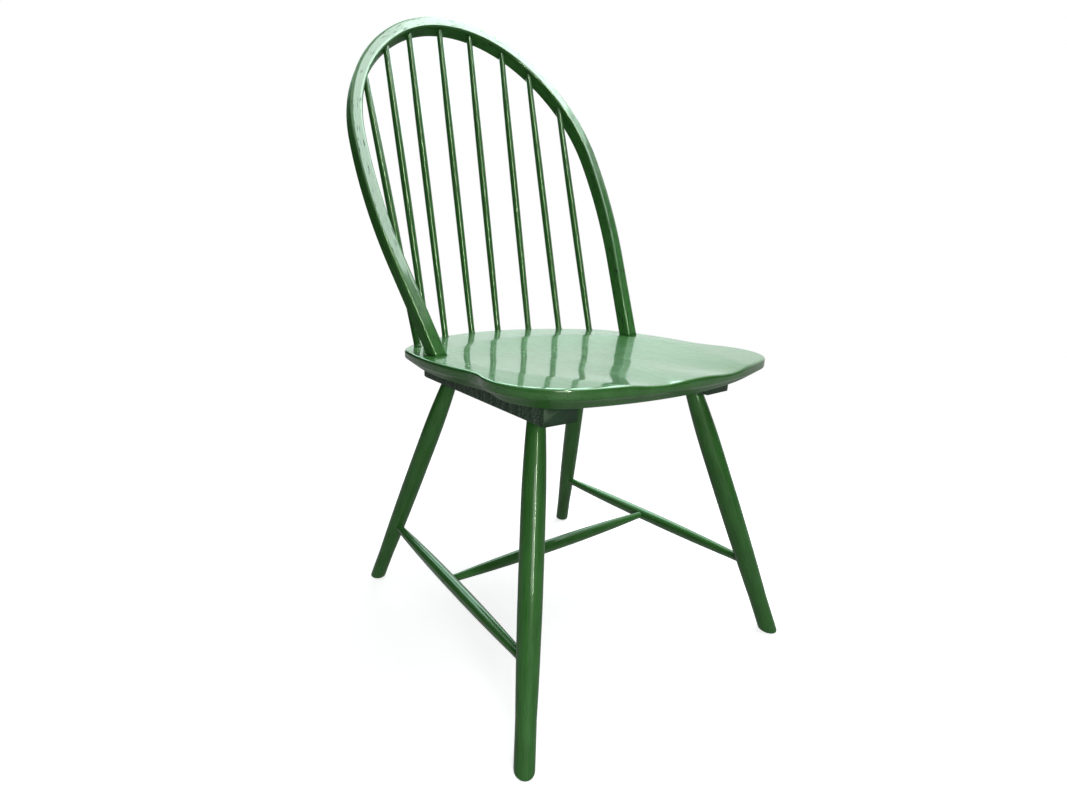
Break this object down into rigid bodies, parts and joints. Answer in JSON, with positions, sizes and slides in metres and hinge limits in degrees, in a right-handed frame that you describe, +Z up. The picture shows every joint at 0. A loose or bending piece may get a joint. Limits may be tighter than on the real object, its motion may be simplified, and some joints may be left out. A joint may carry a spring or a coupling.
{
  "type": "windsor chair",
  "caption": "Side chair with a bent bow back filled with turned spindles, a dished plank seat on two battens and splayed turned legs tied by stretchers.",
  "frame": {"origin": "on the floor, under the middle of the overall box", "axes": "+Z up; the front of the seat faces -Y and the bow leans back toward +Y; +X is to the right as seen from the front"},
  "size_m": [0.5136, 0.5937, 0.9896],
  "materials": {
    "seat_paint": "glossy green brushed paint on a solid plank",
    "bow_paint": "glossy green paint with open pores",
    "spindle_paint": "glossy green paint",
    "leg_paint": "glossy green paint",
    "stretcher_paint": "glossy green paint",
    "batten_paint": "thin dark green paint on rough sawn wood",
    "screw_steel": "dulled steel"
  },
  "bodies": {
    "root": {"seat": "seat_paint", "bow": "bow_paint", "spindle_1": "spindle_paint", "spindle_2": "spindle_paint", "spindle_3": "spindle_paint", "spindle_4": "spindle_paint", "spindle_5": "spindle_paint", "spindle_6": "spindle_paint", "spindle_7": "spindle_paint", "spindle_8": "spindle_paint", "batten_left": "batten_paint", "batten_right": "batten_paint", "leg_front_left": "leg_paint", "leg_front_right": "leg_paint", "leg_rear_left": "leg_paint", "leg_rear_right": "leg_paint", "side_stretcher_left": "stretcher_paint", "side_stretcher_right": "stretcher_paint", "cross_stretcher": "stretcher_paint", "batten_screws_left": "screw_steel", "batten_screws_right": "screw_steel", "bow_screws": "screw_steel", "stretcher_brads": "screw_steel"}
  },
  "joints": []
}
